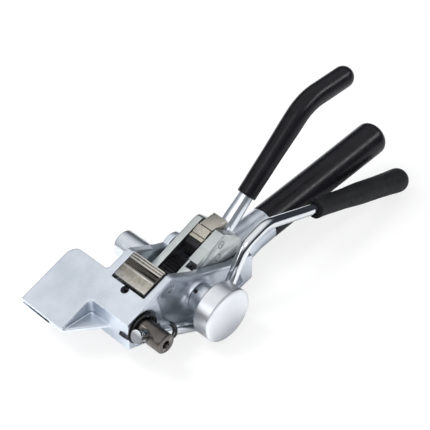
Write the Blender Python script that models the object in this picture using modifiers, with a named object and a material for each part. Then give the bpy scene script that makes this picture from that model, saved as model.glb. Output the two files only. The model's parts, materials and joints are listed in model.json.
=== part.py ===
"""Ratchet band tensioner: a cast frame with a ratchet windlass, a tension lever and a band cutter.

+X points to the nose, +Y to the knob and +Z up. The tool stands on the flat belly of its frame.
All driving dimensions are in millimetres and are turned into metres where objects are made.
"""

import math

import bmesh
import bpy
from mathutils import Matrix, Vector

MM = 0.001
GAP = 0.3

# ---------------------------------------------------------------- driving dimensions
CENTRE_X = 122.0
CENTRE_Y = -2.35
NOSE_H = 38.0
NOSE_TILT = math.radians(20.8)
BODY_HALF = 21.0
CHANNEL_RIGHT = 15.6
CHANNEL_LEFT = -15.0

PADDLE_Y0 = -54.5
PADDLE_Y1 = -14.2
PADDLE_TIP = 25.4
PADDLE_REAR = -21.0
CORNER_R = 8.0
BAND_SLOT_END = -26.6
BAND_SLOT_H = 2.2

WINDLASS = (-61.4, 23.5)
JOURNAL_R = 8.0
MANDREL_R = 10.2
MANDREL_END = -52.4
BOSS_FACE = 22.2
HUB_R = 10.6
SPINDLE_R = 6.0
KNOB_R = 19.7
KNOB_BACK = 36.0
KNOB_FACE = 49.8
GEAR_R = 16.0
GEAR_TEETH = 40

CUTTER = (-12.4, 28.6)
SHAFT_R = 7.1
SHAFT_END = 43.0
POCKET_R = 11.9
BAR_Y = 29.5
BAR_R = 3.9
BAR_TILT = math.radians(26.9)
SPRING_WIRE = 1.0

PAD_PIN = (-40.4, 41.0)
PAWL_PIN = (-88.9, 46.5)
ROOT_PIN = (-86.1, 36.7)
PIN_R = 2.5

HANDLE_START = (-146.5, 21.2)
HANDLE_TILT = math.radians(6.6)
HANDLE_LENGTH = 123.4
GRIP_R = 12.4
CORE_R = 9.7

ROD_TILT = math.radians(41.3)

COLOURS = {
    "zinc": (0.66, 0.69, 0.73, 0.32, 1.0),
    "steel": (0.36, 0.35, 0.32, 0.38, 1.0),
    "dark_steel": (0.17, 0.155, 0.14, 0.42, 1.0),
    "black_steel": (0.02, 0.02, 0.021, 0.45, 0.6),
    "chrome": (0.74, 0.76, 0.78, 0.12, 1.0),
    "nickel": (0.47, 0.44, 0.38, 0.36, 1.0),
    "gloss_grip": (0.012, 0.012, 0.014, 0.22, 0.0),
    "matt_grip": (0.016, 0.016, 0.017, 0.55, 0.0),
}


# ---------------------------------------------------------------- scene and materials
for old in list(bpy.data.objects):
    bpy.data.objects.remove(old, do_unlink=True)

parts = bpy.data.collections.new("band_tensioner")
cutters = bpy.data.collections.new("cutters")
bpy.context.scene.collection.children.link(parts)
bpy.context.scene.collection.children.link(cutters)


def material(node, finish):
    """A Principled material of its own for one node."""
    red, green, blue, rough, metal = COLOURS[finish]
    made = bpy.data.materials.new("mat_" + node)
    made.use_nodes = True
    shader = made.node_tree.nodes["Principled BSDF"]
    shader.inputs["Base Color"].default_value = (red, green, blue, 1.0)
    shader.inputs["Roughness"].default_value = rough
    shader.inputs["Metallic"].default_value = metal
    return made


def at(x, y, z):
    """A point of the tool in metres."""
    return Vector(((x + CENTRE_X) * MM, (y - CENTRE_Y) * MM, z * MM))


# ---------------------------------------------------------------- makers of basic shapes
def place(obj, finish):
    """Put an object in the parts collection with its finish, or among the cutters without one."""
    home = parts if finish else cutters
    home.objects.link(obj)
    if finish:
        obj.data.materials.append(material(obj.name, finish))
    else:
        obj.hide_render = True
        obj.display_type = "WIRE"
    return obj


def freeze(obj):
    """Turn a curve or a mesh with modifiers into a plain welded mesh object in the same place."""
    graph = bpy.context.evaluated_depsgraph_get()
    graph.update()
    mesh = bpy.data.meshes.new_from_object(obj.evaluated_get(graph))
    work = bmesh.new()
    work.from_mesh(mesh)
    bmesh.ops.remove_doubles(work, verts=work.verts, dist=0.000002)
    bmesh.ops.recalc_face_normals(work, faces=work.faces)
    work.to_mesh(mesh)
    work.free()
    name = obj.name
    homes = list(obj.users_collection)
    matrix = obj.matrix_world.copy()
    hidden = obj.hide_render
    bpy.data.objects.remove(obj, do_unlink=True)
    solid = bpy.data.objects.new(name, mesh)
    solid.matrix_world = matrix
    for home in homes:
        home.objects.link(solid)
    solid.hide_render = hidden
    solid.display_type = "WIRE" if hidden else "TEXTURED"
    return solid


def outline(name, points, y0, y1, finish=None, origin=(0.0, 0.0)):
    """A flat outline of (x, z) points, standing between the planes y0 and y1."""
    curve = bpy.data.curves.new(name, "CURVE")
    curve.dimensions = "2D"
    curve.fill_mode = "BOTH"
    curve.extrude = (y1 - y0) / 2 * MM
    spline = curve.splines.new("POLY")
    spline.points.add(len(points) - 1)
    for point, (x, z) in zip(spline.points, points):
        point.co = ((x - origin[0]) * MM, (z - origin[1]) * MM, 0.0, 1.0)
    spline.use_cyclic_u = True
    obj = place(bpy.data.objects.new(name, curve), finish)
    obj.rotation_euler = (math.pi / 2, 0.0, 0.0)
    obj.location = at(origin[0], (y0 + y1) / 2, origin[1])
    bpy.context.view_layer.update()
    return freeze(obj)


def turned(name, profile, centre, steps=40, finish=None, direction=(0.0, 1.0, 0.0)):
    """A profile of (radius, distance) points turned about an axis through a point of the tool.

    The profile runs from the far end of the axis, down its outer side, to the near end.
    """
    mesh = bpy.data.meshes.new(name)
    verts = [(radius * MM, 0.0, along * MM) for radius, along in profile]
    closed = profile[0][0] > 0 or profile[-1][0] > 0
    edges = [(i, i + 1) for i in range(len(verts) - 1)]
    if closed:
        edges.append((len(verts) - 1, 0))
    mesh.from_pydata(verts, edges, [])
    obj = place(bpy.data.objects.new(name, mesh), finish)
    screw = obj.modifiers.new("turn", "SCREW")
    screw.steps = steps
    screw.render_steps = steps
    screw.use_merge_vertices = True
    screw.merge_threshold = 0.00001
    axis = Vector(direction).normalized()
    obj.rotation_euler = axis.to_track_quat("Z", "X").to_euler()
    obj.location = at(*centre)
    bpy.context.view_layer.update()
    return freeze(obj)


def drum(name, radius, y0, y1, centre, steps=40, finish=None, chamfer=0.0):
    """A plain cylinder along Y, with optional chamfered ends."""
    if chamfer:
        profile = [(0.0, y1), (radius - chamfer, y1), (radius, y1 - chamfer)]
        profile += [(radius, y0 + chamfer), (radius - chamfer, y0), (0.0, y0)]
    else:
        profile = [(0.0, y1), (radius, y1), (radius, y0), (0.0, y0)]
    return turned(name, profile, (centre[0], 0.0, centre[1]), steps, finish)


def wire(name, points, radii, finish=None, resolution=3):
    """A round bar through points of the tool, with a radius at each point and filled caps."""
    curve = bpy.data.curves.new(name, "CURVE")
    curve.dimensions = "3D"
    curve.bevel_depth = MM
    curve.bevel_resolution = resolution
    curve.use_fill_caps = True
    spline = curve.splines.new("POLY")
    spline.points.add(len(points) - 1)
    for point, place_mm, radius in zip(spline.points, points, radii):
        spot = at(*place_mm)
        point.co = (spot.x, spot.y, spot.z, 1.0)
        point.radius = radius
    obj = place(bpy.data.objects.new(name, curve), finish)
    bpy.context.view_layer.update()
    return freeze(obj)


def footprint(name, points, z0, z1):
    """A plan outline of (x, y) points, standing between two heights."""
    curve = bpy.data.curves.new(name, "CURVE")
    curve.dimensions = "2D"
    curve.fill_mode = "BOTH"
    curve.extrude = (z1 - z0) / 2 * MM
    spline = curve.splines.new("POLY")
    spline.points.add(len(points) - 1)
    for point, (x, y) in zip(spline.points, points):
        point.co = (x * MM, y * MM, 0.0, 1.0)
    spline.use_cyclic_u = True
    obj = place(bpy.data.objects.new(name, curve), None)
    obj.location = at(0.0, 0.0, (z0 + z1) / 2)
    bpy.context.view_layer.update()
    return freeze(obj)


def slab(name, size, centre, rotation_y=0.0, finish=None):
    """A box from a cube primitive, turned about Y."""
    mesh = bpy.data.meshes.new(name)
    work = bmesh.new()
    bmesh.ops.create_cube(work, size=1.0)
    bmesh.ops.scale(work, vec=Vector(size) * MM, verts=work.verts)
    work.to_mesh(mesh)
    work.free()
    obj = place(bpy.data.objects.new(name, mesh), finish)
    obj.rotation_euler = (0.0, rotation_y, 0.0)
    obj.location = at(*centre)
    bpy.context.view_layer.update()
    return obj


def boolean(target, tool, operation):
    """Add or cut another solid; the tool is kept as a guide among the cutters."""
    mod = target.modifiers.new(operation.lower() + "_" + tool.name, "BOOLEAN")
    mod.object = tool
    mod.operation = operation
    mod.solver = "EXACT"
    return mod


def finish_solid(obj, smooth=35.0):
    """Apply the modifiers and shade the round faces smooth."""
    solid = freeze(obj)
    solid.data.shade_smooth()
    solid.data.set_sharp_from_angle(angle=math.radians(smooth))
    return solid


def set_origin(obj, x, y, z):
    """Move an object's origin to a point of its joint's axis without moving its mesh."""
    target = at(x, y, z)
    shift = obj.matrix_world.inverted() @ target
    obj.data.transform(Matrix.Translation(-shift))
    obj.matrix_world = obj.matrix_world @ Matrix.Translation(shift)
    return obj


# ---------------------------------------------------------------- geometry helpers
def nose_z(x, lift=0.0):
    """Height of the sloping nose plate's plane at x, lifted along its normal."""
    return NOSE_H - x * math.tan(NOSE_TILT) + lift / math.cos(NOSE_TILT)


def rounded_path(corners, radii, step=12.0):
    """A path of straight runs whose corners are arcs of the given radii."""
    path = [Vector(corners[0])]
    for i in range(1, len(corners) - 1):
        before = Vector(corners[i - 1])
        corner = Vector(corners[i])
        after = Vector(corners[i + 1])
        one = (before - corner).normalized()
        two = (after - corner).normalized()
        half = one.angle(two) / 2
        reach = radii[i - 1] / math.tan(half)
        middle = corner + (one + two).normalized() * radii[i - 1] / math.sin(half)
        first = corner + one * reach - middle
        last = corner + two * reach - middle
        count = max(2, int(math.degrees(first.angle(last)) / step))
        for k in range(count + 1):
            path.append(middle + first.slerp(last, k / count).normalized() * radii[i - 1])
    path.append(Vector(corners[-1]))
    return path


def lengths(path):
    """Distance along a path at each of its points."""
    total = [0.0]
    for one, two in zip(path, path[1:]):
        total.append(total[-1] + (two - one).length)
    return total


def resample(path, spacing):
    """Points at an even spacing along a path, ends included."""
    marks = lengths(path)
    count = max(2, round(marks[-1] / spacing))
    result = []
    for i in range(count + 1):
        want = marks[-1] * i / count
        j = max(k for k, mark in enumerate(marks[:-1]) if mark <= want + 1e-9)
        part = (want - marks[j]) / (marks[j + 1] - marks[j])
        result.append(path[j].lerp(path[j + 1], part))
    return result


def table(value, rows):
    """Straight-line lookup in (input, output) rows."""
    for (x0, y0), (x1, y1) in zip(rows, rows[1:]):
        if value <= x1:
            return y0 + (y1 - y0) * max(0.0, (value - x0) / (x1 - x0))
    return rows[-1][1]


# ---------------------------------------------------------------- frame casting
WALL = [
    (0.0, nose_z(0.0)),
    (-38.5, nose_z(-38.5)),
    (-41.0, nose_z(-38.5) - 0.4),
    (-47.0, 49.2),
    (-57.0, 43.8),
    (-64.0, 40.9),
    (-77.0, 36.0),
    (-91.0, 30.6),
    (-103.0, 28.6),
    (-113.4, 26.0),
    (-113.4, 5.2),
    (-101.0, 2.0),
    (-94.0, 0.0),
    (-49.0, 0.0),
    (-13.8, 12.2),
    (0.0, 16.6),
]

frame = outline("frame", WALL, -BODY_HALF, BODY_HALF, "zinc")

paddle = outline(
    "add_paddle",
    [
        (PADDLE_TIP, nose_z(PADDLE_TIP)),
        (PADDLE_REAR, nose_z(PADDLE_REAR)),
        (PADDLE_REAR, 12.0),
        (-4.0, 12.4),
        (0.0, 14.0),
        (PADDLE_TIP, 24.1),
    ],
    PADDLE_Y0,
    PADDLE_Y1,
)

lobe = drum("add_lobe", 10.0, -BODY_HALF, -16.0, (-77.0, 32.0), 40)
boss = turned(
    "add_boss",
    [
        (0.0, BOSS_FACE),
        (HUB_R, BOSS_FACE),
        (HUB_R, 21.4),
        (11.6, 19.8),
        (13.4, 18.7),
        (15.4, 18.3),
        (15.4, 16.5),
        (0.0, 16.5),
    ],
    (WINDLASS[0], 0.0, WINDLASS[1]),
    48,
)

core_end = HANDLE_LENGTH - 12.0
slope = (-math.cos(HANDLE_TILT), 0.0, math.sin(HANDLE_TILT))
shank = turned(
    "add_shank",
    [
        (0.0, core_end),
        (CORE_R - 1.0, core_end),
        (CORE_R, core_end - 1.0),
        (CORE_R, 0.0),
        (GRIP_R - 0.1, 0.0),
        (GRIP_R + 0.3, -14.0),
        (14.6, -30.0),
        (15.4, -38.0),
        (0.0, -38.0),
    ],
    (HANDLE_START[0], 0.0, HANDLE_START[1]),
    40,
    direction=slope,
)

channel = outline(
    "cut_channel",
    [
        (-19.1, 75.0),
        (-19.1, 40.2),
        (-33.0, 40.2),
        (-38.6, 34.0),
        (-38.6, 6.6),
        (-104.0, 6.6),
        (-107.5, 75.0),
    ],
    CHANNEL_LEFT,
    CHANNEL_RIGHT,
)
recess = outline(
    "cut_recess",
    [
        (-26.5, nose_z(-26.5) - 3.2),
        (-40.0, nose_z(-38.5) - 4.0),
        (-47.0, 45.2),
        (-57.0, 40.0),
        (-64.0, 37.2),
        (-77.0, 32.4),
        (-91.0, 27.4),
        (-99.0, 25.0),
        (-104.0, 6.0),
        (-60.0, 4.6),
        (-42.0, 8.0),
        (-30.5, 24.0),
    ],
    BODY_HALF - 2.6,
    BODY_HALF + 4.0,
)

pocket = drum("cut_pocket", POCKET_R, 14.0, 30.0, CUTTER, 40)
leg_room = slab("cut_leg_room", (17.0, 16.0, 6.0), (-19.5, 22.3, 17.6), BAR_TILT * 0.5)
windlass_bore = drum("cut_windlass_bore", JOURNAL_R + GAP, -30.0, 40.0, WINDLASS, 44)
cutter_bore = drum("cut_cutter_bore", SHAFT_R + GAP, -70.0, 40.0, CUTTER, 36)
pad_bore = drum("cut_pad_bore", PIN_R + GAP, -18.6, 30.0, PAD_PIN, 20)
band_slot = slab(
    "cut_band_slot",
    (60.0, 40.0, BAND_SLOT_H),
    (0.0, BAND_SLOT_END - 20.0, 25.4),
    0.0,
)
normal = (math.sin(NOSE_TILT), 0.0, math.cos(NOSE_TILT))
screw_hole = turned(
    "cut_screw_hole",
    [(0.0, 6.0), (2.8, 6.0), (2.8, -7.2), (0.0, -7.2)],
    (-16.9, 0.0, nose_z(-16.9)),
    24,
    direction=normal,
)
leg_hole = turned(
    "cut_leg_hole",
    [(0.0, 4.0), (1.4, 4.0), (1.4, -2.6), (0.0, -2.6)],
    (0.0, 14.0, 27.2),
    12,
    direction=(1.0, 0.0, 0.0),
)

paddle_corner = slab("cut_paddle_corner", (12.0, 12.0, 70.0), (PADDLE_REAR + 2.0, PADDLE_Y0 + 2.0, 30.0))
corner_round = turned(
    "cut_corner_round",
    [(0.0, -10.0), (CORNER_R, -10.0), (CORNER_R, 70.0), (0.0, 70.0)],
    (PADDLE_REAR + CORNER_R, PADDLE_Y0 + CORNER_R, 0.0),
    32,
    direction=(0.0, 0.0, 1.0),
)
boolean(paddle_corner, corner_round, "DIFFERENCE")

web = footprint(
    "add_web",
    [(25.0, PADDLE_Y1), (0.0, 3.4), (-3.0, 3.4), (-3.0, -17.0), (25.0, -17.0)],
    24.2,
    26.9,
)


def fillet(label, corner, side_x, side_y, radius, floor):
    """A block in an inside corner of the plan, hollowed by a cylinder, just short of the nose plane."""
    low_x, high_x = sorted((corner[0] + side_x * radius, corner[0] - side_x * 2.0))
    low_y, high_y = sorted((corner[1] + side_y * radius, corner[1] - side_y * 2.0))
    block = outline(
        "add_fillet_" + label,
        [
            (high_x, nose_z(high_x, -0.05)),
            (low_x, nose_z(low_x, -0.05)),
            (low_x, floor),
            (high_x, floor),
        ],
        low_y,
        high_y,
    )
    hollow = turned(
        "cut_fillet_" + label,
        [(0.0, 8.0), (radius, 8.0), (radius, 60.0), (0.0, 60.0)],
        (corner[0] + side_x * radius, corner[1] + side_y * radius, 0.0),
        24,
        direction=(0.0, 0.0, 1.0),
    )
    boolean(block, hollow, "DIFFERENCE")
    return block


front_fillet = fillet("front", (0.0, PADDLE_Y1), 1.0, 1.0, 3.2, 25.5)
rear_fillet = fillet("rear", (PADDLE_REAR + 0.2, -BODY_HALF + 0.2), -1.0, -1.0, 3.4, 13.0)

for tool in (paddle, lobe, web, front_fillet):
    boolean(frame, tool, "UNION")
boolean(frame, recess, "DIFFERENCE")
boolean(frame, boss, "UNION")
boolean(frame, shank, "UNION")
boolean(frame, rear_fillet, "UNION")
for tool in (channel, pocket, leg_room, windlass_bore, cutter_bore):
    boolean(frame, tool, "DIFFERENCE")
for tool in (pad_bore, band_slot, screw_hole, leg_hole, paddle_corner):
    boolean(frame, tool, "DIFFERENCE")
finish_solid(frame)

# ---------------------------------------------------------------- fixed handle's sleeve
grip_end = HANDLE_LENGTH
turned_grip = turned(
    "fixed_grip",
    [
        (0.0, grip_end),
        (6.0, grip_end - 0.4),
        (9.9, grip_end - 2.2),
        (11.9, grip_end - 5.0),
        (12.7, grip_end - 9.4),
        (GRIP_R, 60.0),
        (GRIP_R, 1.2),
        (GRIP_R - 0.6, GAP),
        (CORE_R + GAP, GAP),
        (CORE_R + GAP, core_end - 0.8),
        (CORE_R - 0.7, core_end + GAP),
        (0.0, core_end + GAP),
    ],
    (HANDLE_START[0], 0.0, HANDLE_START[1]),
    36,
    "gloss_grip",
    slope,
)
finish_solid(turned_grip)

# ---------------------------------------------------------------- small fixed pieces
grub = turned(
    "grub_screw",
    [
        (0.0, -4.6),
        (1.2, -4.3),
        (1.2, -2.4),
        (2.2, -2.4),
        (2.6, -2.8),
        (2.6, -6.4),
        (2.2, -6.8),
        (0.0, -6.8),
    ],
    (-16.9, 0.0, nose_z(-16.9)),
    24,
    "black_steel",
    normal,
)
finish_solid(grub)
pad_pin = drum("pad_pin", PIN_R, -18.3, 18.2, PAD_PIN, 20, "steel", 0.4)
finish_solid(pad_pin)


# ---------------------------------------------------------------- windlass group
spindle_end = KNOB_FACE - 3.4
windlass = turned(
    "windlass",
    [
        (0.0, spindle_end),
        (SPINDLE_R - 0.6, spindle_end),
        (SPINDLE_R, spindle_end - 0.6),
        (SPINDLE_R, BOSS_FACE + 0.1),
        (JOURNAL_R, BOSS_FACE + 0.1),
        (JOURNAL_R, -BODY_HALF - GAP),
        (MANDREL_R, -BODY_HALF - GAP),
        (MANDREL_R, MANDREL_END + 2.0),
        (MANDREL_R - 2.0, MANDREL_END),
        (0.0, MANDREL_END),
    ],
    (WINDLASS[0], 0.0, WINDLASS[1]),
    48,
    "zinc",
)
windlass_slot = slab(
    "cut_windlass_slot",
    (30.0, 24.0, 2.2),
    (WINDLASS[0], MANDREL_END + 11.0, WINDLASS[1]),
    math.radians(38.0),
)
boolean(windlass, windlass_slot, "DIFFERENCE")
windlass = finish_solid(windlass)
set_origin(windlass, WINDLASS[0], 0.0, WINDLASS[1])

tooth = 360.0 / GEAR_TEETH
gear_points = []
for i in range(GEAR_TEETH):
    for radius, lead in ((GEAR_R, 0.0), (GEAR_R - 0.2, 0.12), (GEAR_R - 1.5, 0.9), (GEAR_R - 1.5, 0.98)):
        angle = math.radians((i + lead) * tooth)
        spot = (WINDLASS[0] + radius * math.cos(angle), WINDLASS[1] + radius * math.sin(angle))
        gear_points.append(spot)
gear = outline("ratchet_gear", gear_points, -5.6, 5.8, "black_steel", WINDLASS)
gear_bore = drum("cut_gear_bore", JOURNAL_R + GAP, -12.0, 12.0, WINDLASS, 48)
boolean(gear, gear_bore, "DIFFERENCE")
gear = finish_solid(gear, 20.0)
set_origin(gear, WINDLASS[0], 0.0, WINDLASS[1])

collar = turned(
    "knob_collar",
    [
        (HUB_R - 0.4, KNOB_BACK - GAP),
        (HUB_R, KNOB_BACK - 0.9),
        (HUB_R, BOSS_FACE + 1.0),
        (HUB_R - 0.5, BOSS_FACE + 0.5),
        (SPINDLE_R + GAP, BOSS_FACE + 0.5),
        (SPINDLE_R + GAP, KNOB_BACK - GAP),
    ],
    (WINDLASS[0], 0.0, WINDLASS[1]),
    48,
    "zinc",
)
pin_angle = math.radians(60.0)
pin_dir = (math.cos(pin_angle), 0.0, math.sin(pin_angle))
pin_hole = turned(
    "cut_collar_pin",
    [(0.0, 14.0), (1.7, 14.0), (1.7, 7.0), (0.0, 7.0)],
    (WINDLASS[0], BOSS_FACE + 2.1, WINDLASS[1]),
    16,
    direction=pin_dir,
)
boolean(collar, pin_hole, "DIFFERENCE")
collar = finish_solid(collar)
set_origin(collar, WINDLASS[0], 0.0, WINDLASS[1])
collar_pin = turned(
    "collar_pin",
    [(0.0, 9.9), (1.0, 9.9), (1.35, 9.5), (1.35, 7.3), (0.0, 7.3)],
    (WINDLASS[0], BOSS_FACE + 2.1, WINDLASS[1]),
    16,
    "black_steel",
    pin_dir,
)
finish_solid(collar_pin)

knob = turned(
    "knob",
    [
        (0.0, KNOB_FACE),
        (9.0, KNOB_FACE - 0.3),
        (15.5, KNOB_FACE - 1.1),
        (17.9, KNOB_FACE - 1.9),
        (18.7, KNOB_FACE - 2.7),
        (KNOB_R, KNOB_FACE - 3.2),
        (KNOB_R, KNOB_BACK + 0.9),
        (KNOB_R - 0.9, KNOB_BACK),
        (SPINDLE_R + GAP, KNOB_BACK),
        (SPINDLE_R + GAP, spindle_end + GAP),
        (0.0, spindle_end + GAP),
    ],
    (WINDLASS[0], 0.0, WINDLASS[1]),
    60,
    "zinc",
)
knob = finish_solid(knob)
set_origin(knob, WINDLASS[0], 0.0, WINDLASS[1])


# ---------------------------------------------------------------- tension lever
def cheek_line(x, drop=0.0):
    """Height of the lever cheeks' sloping top edge, or of a line a little below it."""
    return 43.9 + (-68.6 - x) * 0.412 - drop


def cheek(name, front, rear, y0, y1, notch=None):
    """One side plate of the lever: a ring round the windlass with an arm to the rear."""
    obj = outline(name, front + rear, y0, y1, "zinc", WINDLASS)
    ring = drum("add_ring_" + name, 12.2, y0, y1, WINDLASS, 40)
    boolean(obj, ring, "UNION")
    bore = drum("cut_bore_" + name, JOURNAL_R + GAP, y0 - 2.0, y1 + 2.0, WINDLASS, 48)
    boolean(obj, bore, "DIFFERENCE")
    for label, pin in (("pawl", PAWL_PIN), ("root", ROOT_PIN)):
        hole = drum("cut_" + label + "_" + name, PIN_R + GAP, y0 - 2.0, y1 + 2.0, pin, 20)
        boolean(obj, hole, "DIFFERENCE")
    if notch:
        boolean(obj, notch, "DIFFERENCE")
    return set_origin(finish_solid(obj), WINDLASS[0], 0.0, WINDLASS[1])


SCREW_FLOOR = 37.0
SCREW_X = -64.4
screw_notch = slab("cut_screw_notch", (4.8, 8.0, 8.0), (SCREW_X, 12.4, SCREW_FLOOR + 4.0))


cheek_right = cheek(
    "lever_cheek_right",
    [
        (-50.0, 16.0),
        (-49.5, cheek_line(-49.5, 0.8)),
        (-66.8, cheek_line(-66.8, 0.8)),
        (-66.8, cheek_line(-66.8)),
        (-91.6, cheek_line(-91.6)),
    ],
    [(-94.0, 52.6), (-107.4, 41.2), (-107.9, 39.0), (-103.4, 31.5), (-97.0, 26.6), (-78.0, 19.5)],
    7.0,
    15.1,
    screw_notch,
)
cheek_left = cheek(
    "lever_cheek_left",
    [(-50.0, 16.0), (-49.5, cheek_line(-49.5)), (-91.0, cheek_line(-91.0))],
    [
        (-93.4, 53.7),
        (-95.8, 52.9),
        (-98.2, 50.8),
        (-102.0, 47.4),
        (-105.4, 43.0),
        (-106.0, 39.0),
        (-103.4, 31.5),
        (-97.0, 26.6),
        (-78.0, 19.5),
    ],
    -12.4,
    -6.9,
)

ROD_BASE = Vector((-110.4, 0.3, 43.5))
rod_dir = Vector((-math.cos(ROD_TILT), 0.0, math.sin(ROD_TILT)))
rod_corners = [
    ROD_BASE - rod_dir * 12.0,
    Vector((-184.0, 0.3, 43.5 + (184.0 - 110.4) * math.tan(ROD_TILT) - 1.5)),
    Vector((-230.0, 0.3, 108.7)),
]
rod_path = rounded_path(rod_corners, [34.0])
rod_points = resample(rod_path, 9.0)
rod_marks = lengths(rod_points)
rod_length = rod_marks[-1]
ROD_TAPER = [(0.0, 5.7), (9.0, 6.3), (16.0, 6.2), (37.0, 5.2), (200.0, 5.0)]
mouth = 34.2


def trim(path, start, end, spacing):
    """The stretch of a path between two distances along it."""
    marks = lengths(path)
    kept = []
    for want in (start, end):
        j = max(k for k, mark in enumerate(marks[:-1]) if mark <= want + 1e-9)
        part = min(1.0, (want - marks[j]) / (marks[j + 1] - marks[j]))
        kept.append(path[j].lerp(path[j + 1], part))
    inner = [point for point, mark in zip(path, marks) if start < mark < end]
    return resample([kept[0]] + inner + [kept[1]], spacing)


def bar(name, path, start, end, taper, spacing=9.0, finish=None, grow=0.0, resolution=4):
    """A round bar along a stretch of a path whose radius follows a table."""
    points = trim(path, start, end, spacing)
    marks = lengths(points)
    radii = [table(start + mark, taper) + grow for mark in marks]
    return wire(name, points, radii, finish, resolution)


def sleeve(name, path, mouth_at, end_at, taper, cap, core_end, core_taper, finish):
    """A closed-end grip on a bar: a skin whose radius follows a table, hollowed by the bar."""
    body = trim(path, mouth_at, end_at - cap, 6.0)
    marks = [mouth_at + mark for mark in lengths(body)]
    radii = [table(mark, taper) for mark in marks]
    tail = trim(path, end_at - cap, end_at, 20.0)
    one = tail[0]
    two = tail[-1]
    last = radii[-1]
    for i in range(1, 6):
        angle = math.pi / 2 * i / 5
        body.append(one.lerp(two, math.sin(angle)))
        radii.append(max(0.9, last * math.cos(angle)))
    skin = wire(name, body, radii, finish, 4)
    core_name = "cut_core_" + name
    core = bar(core_name, path, mouth_at - 6.0, core_end + GAP, core_taper, 9.0, None, GAP + 0.15, 4)
    boolean(skin, core, "DIFFERENCE")
    return finish_solid(skin, 50.0)


rod = bar("tension_rod", rod_path, 0.0, rod_length - 9.0, ROD_TAPER, 9.0, "zinc")
tongue = outline(
    "add_tongue",
    [
        (-106.5, 45.0),
        (-101.0, 40.6),
        (-92.0, 40.2),
        (-84.0, 41.6),
        (-80.6, 37.5),
        (-81.4, 33.0),
        (-88.0, 30.2),
        (-98.0, 28.6),
        (-111.5, 38.0),
    ],
    -5.5,
    6.1,
)
boolean(rod, tongue, "UNION")
root_hole = drum("cut_root_rod", PIN_R + GAP, -10.0, 10.0, ROOT_PIN, 20)
boolean(rod, root_hole, "DIFFERENCE")
rod = finish_solid(rod, 40.0)
set_origin(rod, WINDLASS[0], 0.0, WINDLASS[1])

GRIP_TAPER = [(mouth, 6.95), (60.0, 7.15), (95.0, 7.7), (130.0, 7.9), (170.0, 8.1)]
tension_grip = sleeve(
    "tension_grip", rod_path, mouth, rod_length, GRIP_TAPER, 8.1, rod_length - 9.0, ROD_TAPER, "gloss_grip"
)
set_origin(tension_grip, WINDLASS[0], 0.0, WINDLASS[1])

pawl_pin = drum("pawl_pin", PIN_R, -12.4, 15.3, PAWL_PIN, 20, "zinc", 0.3)
finish_solid(pawl_pin)
root_pin = drum("root_pin", PIN_R, -12.4, 15.3, ROOT_PIN, 20, "zinc", 0.3)
finish_solid(root_pin)

# ---------------------------------------------------------------- drive pawl
pawl = outline(
    "drive_pawl",
    [
        (-79.5, 45.6),
        (-79.5, 48.9),
        (-81.5, 49.6),
        (-81.7, 48.9),
        (-82.3, 49.1),
        (-82.5, 50.2),
        (-87.9, 53.5),
        (-88.3, 51.6),
        (-89.1, 51.6),
        (-89.4, 53.0),
        (-102.8, 53.9),
        (-103.8, 50.6),
        (-95.6, 47.6),
        (-93.2, 43.6),
        (-90.0, 41.9),
        (-86.4, 42.4),
        (-83.0, 44.6),
    ],
    -5.4,
    6.1,
    "nickel",
    PAWL_PIN,
)
pawl_hole = drum("cut_pawl_hole", PIN_R + GAP, -10.0, 10.0, PAWL_PIN, 20)
boolean(pawl, pawl_hole, "DIFFERENCE")
pawl = finish_solid(pawl)
set_origin(pawl, PAWL_PIN[0], 0.0, PAWL_PIN[1])
pawl_tooth = outline(
    "pawl_tooth",
    [(-79.3, 48.4), (-79.3, 43.2), (-78.4, 38.6), (-74.2, 35.9), (-73.4, 38.6), (-75.6, 46.2)],
    -5.2,
    5.9,
    "black_steel",
    PAWL_PIN,
)
finish_solid(pawl_tooth)
set_origin(bpy.data.objects["pawl_tooth"], PAWL_PIN[0], 0.0, PAWL_PIN[1])

cheek_screw = turned(
    "cheek_screw",
    [(0.0, 1.8), (1.0, 1.8), (1.0, 3.4), (1.7, 3.4), (2.0, 3.0), (2.0, GAP), (0.0, GAP)],
    (SCREW_X, 11.2, SCREW_FLOOR),
    20,
    "black_steel",
    (0.0, 0.0, 1.0),
)
finish_solid(cheek_screw)


# ---------------------------------------------------------------- thumb pad
pad_points = [
    (-20.7, nose_z(-20.7, -1.0)),
    (-20.7, nose_z(-20.7, 0.85)),
    (-28.0, nose_z(-28.0, 0.85)),
    (-28.8, nose_z(-28.8, 1.1)),
    (-34.4, nose_z(-34.4, 1.1)),
    (-38.6, nose_z(-38.6, 1.0)),
    (-39.6, nose_z(-39.6, 0.0)),
    (-40.4, 48.4),
    (-45.4, 42.6),
    (-48.6, 38.4),
    (-48.4, 36.0),
    (-44.6, 37.0),
    (-40.6, 36.8),
    (-37.2, 38.2),
    (-35.6, 43.0),
    (-33.0, 46.6),
    (-27.0, nose_z(-27.0, -1.6)),
]
pad = outline("thumb_pad", pad_points, -14.0, 14.4, "steel", PAD_PIN)
pad_hole = drum("cut_pad_hole", PIN_R + GAP, -20.0, 20.0, PAD_PIN, 20)
boolean(pad, pad_hole, "DIFFERENCE")
gear_room = drum("cut_gear_room", GEAR_R + 1.4, -16.0, 16.0, WINDLASS, 48)
boolean(pad, gear_room, "DIFFERENCE")
pad = finish_solid(pad)
set_origin(pad, PAD_PIN[0], 0.0, PAD_PIN[1])


# ---------------------------------------------------------------- hidden return springs
def coil_spring(name, x, low, high, radius, turns, wire_radius):
    """A small compression spring standing on the mid-plane."""
    per_turn = 10
    count = turns * per_turn
    first = low + wire_radius
    last = high - wire_radius
    points = []
    for i in range(count + 1):
        angle = 2 * math.pi * i / per_turn
        height = first + (last - first) * i / count
        points.append((x + radius * math.cos(angle), radius * math.sin(angle), height))
    return finish_solid(wire(name, points, [wire_radius] * len(points), "black_steel", 2), 60.0)


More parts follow.
